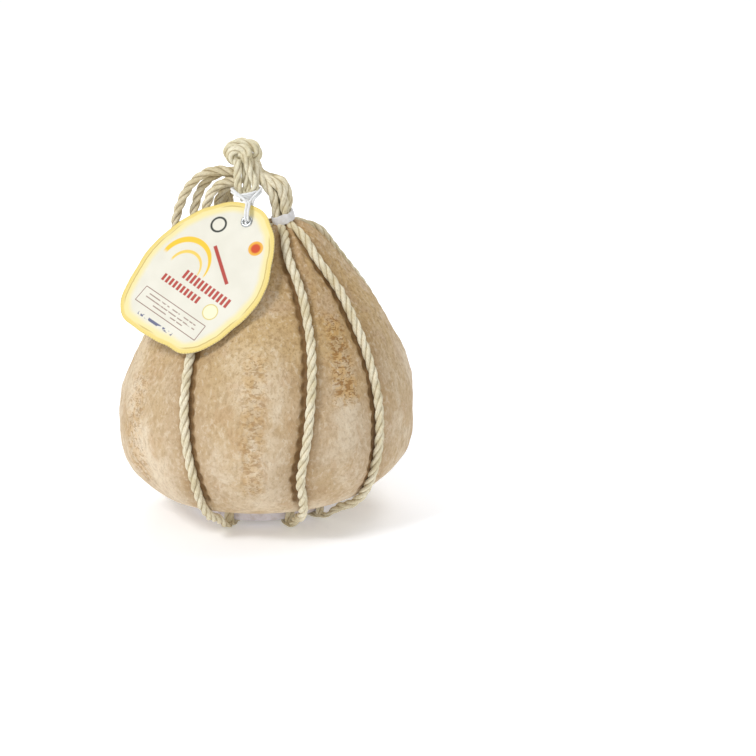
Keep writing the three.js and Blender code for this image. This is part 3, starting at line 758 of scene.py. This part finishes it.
def card_finish():
    """Semi-matt card: yellow border with a darker rule, warm white field, and plain bars, lines and discs."""
    card = Finish("printed_card", Roughness=0.5, Specular_IOR_Level=0.35)
    place = card.coordinates(of="UV")
    split = card.tree.nodes.new("ShaderNodeSeparateXYZ")
    card.tree.links.new(place.socket, split.inputs[0])
    across = Value(card, split.outputs[0]) * (1 / MM)
    up = Value(card, split.outputs[1]) * (1 / MM)
    inset = card.mask("inset")
    tone = card.noise(place, 0.02, 2.0)
    wobble = card.noise(place, 0.009, 2.0)

    def disc(x, y, radius, soft=0.35):
        away = ((across - x) ** 2.0 + (up - y) ** 2.0) ** 0.5
        return card.fade(away, radius + soft, radius - soft)

    def bar(x0, y0, x1, y1, half, soft=0.3):
        length = np.hypot(x1 - x0, y1 - y0)
        cos, sin = (x1 - x0) / length, (y1 - y0) / length
        along = (across - (x0 + x1) / 2) * cos + (up - (y0 + y1) / 2) * sin
        off = (up - (y0 + y1) / 2) * cos - (across - (x0 + x1) / 2) * sin
        ends = card.fade(abs(along), length / 2 + soft, length / 2 - soft)
        return ends * card.fade(abs(off), half + soft, half - soft), along

    colour = card.mix(card.fade(tone, 0.3, 0.7), linear(226, 223, 208), linear(232, 229, 215))
    edge = inset + wobble * 1.2
    colour = card.mix(card.fade(edge, 9.0, 4.6), colour, linear(240, 226, 164))
    colour = card.mix(card.fade(edge, 3.7, 2.4), colour, linear(234, 212, 126))
    rule = card.fade(abs(edge - 3.6), 0.6, 0.2) * card.fade(card.noise(place, 0.03, 1.0), 0.42, 0.55)
    colour = card.mix(rule * 0.85, colour, linear(202, 176, 96))
    rim = card.fade(inset, 0.8, 0.3)
    colour = card.mix(rim * 0.8, colour, linear(204, 180, 104))

    red, brown, blue = linear(178, 62, 50), linear(120, 70, 56), linear(64, 74, 120)
    hoop, spot, seal_place = (-13.7, -10.8), (16.4, -10.2), (20.0, -55.8)
    ring = disc(*hoop, 5.2) * (1.0 - disc(*hoop, 3.9))
    marks = [(ring, linear(38, 44, 36)), (disc(*spot, 4.6), linear(236, 176, 60))]
    marks += [(disc(*spot, 3.0, 0.8), linear(206, 70, 18))]
    arch = disc(-15.0, -41.0, 17.0) * (1.0 - disc(-14.0, -42.6, 15.2)) * card.fade(up, -43.0, -40.0)
    inner_arch = disc(-13.0, -43.0, 11.0) * (1.0 - disc(-12.6, -44.0, 10.0)) * card.fade(up, -45.0, -42.0)
    marks += [(arch, linear(244, 200, 52)), (inner_arch, linear(244, 206, 96))]
    slope, _ = bar(-6.0, -22.5, 17.0, -37.0, 1.1)
    marks += [(slope, red)]
    for x0, y0, x1, y1, half in ((-10.5, -46.1, 26.9, -46.1, 2.9), (-20.5, -54.6, 9.5, -54.4, 2.3)):
        field, along = bar(x0, y0, x1, y1, half)
        strokes = card.node("ShaderNodeMath", {"operation": "PINGPONG"}, {0: along, 1: 1.55})
        marks += [(field * card.fade(strokes, 0.45, 0.75), red)]
    for x0, y0, x1, y1 in (
            (-25.0, -65.0, 23.4, -64.0), (-25.5, -75.3, 23.4, -74.3), (-25.0, -65.0, -25.5, -75.3),
            (23.4, -64.0, 23.4, -74.3)):
        marks += [(bar(x0, y0, x1, y1, 0.22, 0.2)[0], brown)]
    for y, reach in ((-67.6, 19), (-70.0, 20), (-72.3, 12)):
        field, along = bar(-1 - reach, y, -1 + reach, y + 0.5, 0.32, 0.25)
        marks += [(field * card.fade(card.noise(place, 0.0035, 1.0), 0.38, 0.46) * 0.8, brown)]
    scrawl, _ = bar(-18.2, -80.4, 9.4, -79.4, 0.9)
    marks += [(scrawl * card.fade(card.noise(place, 0.0028, 1.0), 0.46, 0.54) * 0.9, blue)]
    seal = disc(*seal_place, 4.9) * (1.0 - disc(*seal_place, 4.3))
    marks += [(disc(*seal_place, 4.6) * 0.7, linear(252, 244, 196)), (seal, linear(214, 196, 104))]
    for field, ink in marks:
        colour = card.mix(field, colour, ink)
    colour = card.mix(card.mask("printed"), linear(226, 221, 206), colour)
    card.feed("Base Color", colour)
    card.relief(card.noise(place, 0.0009, 2.0), 0.0002, 0.25)
    return card.material


settle(tag_card(), card_finish(), "card", "tag")

EYELET_BORE, EYELET_BARREL, EYELET_FLANGE, EYELET_PLATE, EYELET_STAND = 1.7, 2.45, 3.7, 0.55, 0.12


def eyelet_finish():
    """Pressed aluminium, satin, with fine turning marks."""
    metal = Finish("eyelet_metal", Metallic=1.0, Roughness=0.32)
    worn = metal.noise(metal.coordinates(), 0.0008, 2.0)
    metal.feed("Base Color", metal.mix(worn, linear(172, 176, 178), linear(206, 209, 210)))
    metal.feed("Roughness", worn * 0.3 + 0.2)
    return metal.material


def eyelet_profile():
    """Bore, a rolled flange on the front, the barrel through the card, and a flat flange behind."""
    face = TAG_THICKNESS / 2 + EYELET_STAND
    roll_turn = np.linspace(0, np.pi, 12)
    middle, half = (EYELET_BORE + EYELET_FLANGE) / 2, (EYELET_FLANGE - EYELET_BORE) / 2
    front = np.stack([middle + half * np.cos(roll_turn), face + EYELET_PLATE * 1.5 * np.sin(roll_turn)], -1)
    back = np.stack([middle - half * np.cos(roll_turn), -face - EYELET_PLATE * np.sin(roll_turn)], -1)
    waist = np.array([[EYELET_BARREL, -face], [EYELET_BARREL, face]])
    return np.concatenate([front, back, waist])


eyelet = turned("tag_eyelet", eyelet_profile(), 48, EYELET_CENTRE, [card_side, card_up, card_out])
settle(eyelet, eyelet_finish(), "eyelet", "eyelet")

# The cord is drawn doubled: the second strand hangs a little lower and to the side. A short whipping
# binds the two to the bight.
TIE_RADIUS, TIE_LAY, TIE_DROPS, TIE_COLUMNS = 0.85, 3.2, (0, 1.7), 15
TAG_TIE = [
    [-3.2, -16, 186], [-2.9, -23.2, 181.8], [-3.85, -26, 183.9], [-4.7, -28.4, 185.8], [-4.6, -27.6, 190],
    [-4.2, -22.5, 194], [-6.8, -17.6, 196.6], [-11.8, -15.6, 200.4], [-13.4, -12.2, 201],
    [-10.6, -8.7, 200.6], [-3.5, -8.4, 200.4], [1.6, -8.7, 200.9], [3.7, -12.3, 201], [1.7, -15.9, 199.2],
    [-2, -17, 195]]
WHIP_CENTRE, WHIP_REACH, WHIP_RISE, WHIP_TURNS = (-4.0, -12.6, 194.6), (5.2, 4.0), 4.4, 4


def tie_finish():
    """White twisted cord with a soft gloss."""
    cord = Finish("tie_cord", Roughness=0.45)
    tint = cord.noise(cord.coordinates(), 0.003, 2.0)
    cord.feed("Base Color", cord.mix(tint, linear(228, 230, 232), linear(248, 248, 246)))
    return cord.material


tie_material = tie_finish()
for number, drop in enumerate(TIE_DROPS, 1):
    route = np.array(TAG_TIE)
    above = ease(route[:, 2], 194, 199)
    route[:, 2] -= drop * above
    route[:, 0] += 0.9 * drop * (1 - above)
    path, even = smooth_path(route, 0.3, looped=True)
    lay = even[-1] / round(even[-1] / TIE_LAY)
    cord = laid_rope(
        f"tag_cord_{number}", path, even, [0, 0.3, 1], radius=TIE_RADIUS, lay=lay, looped=True,
        columns=TIE_COLUMNS, seed=50 + number)
    settle(cord, tie_material, "tie", "tag_tie")

turn = np.linspace(0, 2 * np.pi * WHIP_TURNS, 90)
swell = 0.72 + 0.28 * np.linspace(0, 1, 90)
whip_route = np.stack([
    WHIP_CENTRE[0] + WHIP_REACH[0] * swell * np.cos(turn),
    WHIP_CENTRE[1] + WHIP_REACH[1] * swell * np.sin(turn),
    WHIP_CENTRE[2] + WHIP_RISE * turn / turn[-1] + 0.8 * np.cos(turn)], -1)
path, even = smooth_path(whip_route, 0.4)
whipping = laid_rope(
    "tag_whipping", path, even, [0, 0, 1], radius=TIE_RADIUS, lay=TIE_LAY, columns=TIE_COLUMNS, seed=60)
settle(whipping, tie_material, "tie", "tag_tie")

# ---------------------------------------------------------------------------------------------
# The setting. A plain white floor, a main light from the upper left, weaker ones from the front and
# high on the right, and a camera a little above the cheese that looks straight at its tag side.
# ---------------------------------------------------------------------------------------------
CAMERA_RISE, CAMERA_LENS, SENSOR = 16, 85, 36
CAMERA_PLACE = np.array([72.73, -1054.24, 383.83])
FLOOR_HALF = 6

floor_mesh = bpy.data.meshes.new("floor")
floor_corners = [(FLOOR_HALF * x, FLOOR_HALF * y, 0) for x, y in ((-1, -1), (1, -1), (1, 1), (-1, 1))]
floor_mesh.from_pydata(floor_corners, [], [(0, 1, 2, 3)])
floor = bpy.data.objects.new("floor", floor_mesh)
bpy.context.scene.collection.objects.link(floor)
white = Finish(
    "floor_white", Roughness=0.9, Specular_IOR_Level=0.1, Base_Color=(0.94, 0.96, 1, 1),
    Emission_Color=(1, 1, 1, 1), Emission_Strength=0.22)
floor_mesh.materials.append(white.material)

camera_data = bpy.data.cameras.new("camera")
camera_data.lens, camera_data.sensor_width = CAMERA_LENS, SENSOR
camera_data.clip_end = 50
camera = bpy.data.objects.new("camera", camera_data)
camera.location = CAMERA_PLACE * MM + MIDDLE
camera.rotation_euler = (np.radians(90 - CAMERA_RISE), 0, 0)
bpy.context.scene.collection.objects.link(camera)
bpy.context.scene.camera = camera


def soft_light(name, place, size, power, aim=(0.0, 0.0, 0.1)):
    """Square area light that faces a point, the lower body of the cheese unless told otherwise."""
    data = bpy.data.lights.new(name, "AREA")
    data.size, data.energy = size, power
    light = bpy.data.objects.new(name, data)
    light.location = place
    away = np.array(place) - aim
    light.rotation_euler = (np.arctan2(np.hypot(away[0], away[1]), away[2]), 0, np.arctan2(away[0], -away[1]))
    bpy.context.scene.collection.objects.link(light)


soft_light("key", (-1.05, -1.0, 1.5), 0.5, 18.5)
soft_light("front", (0.2, -1.7, 0.8), 0.9, 2)
soft_light("shoulder", (0.9, 0.2, 2.1), 0.8, 7)
soft_light("far_floor", (0.0, 2.6, 2.0), 2.4, 60, (0.0, 2.6, 0.0))
world = bpy.data.worlds.new("studio")
world.use_nodes = True
world.node_tree.nodes["Background"].inputs["Color"].default_value = (1, 1, 1, 1)
world.node_tree.nodes["Background"].inputs["Strength"].default_value = 0.45
bpy.context.scene.world = world
bpy.context.scene.view_settings.view_transform = "Standard"
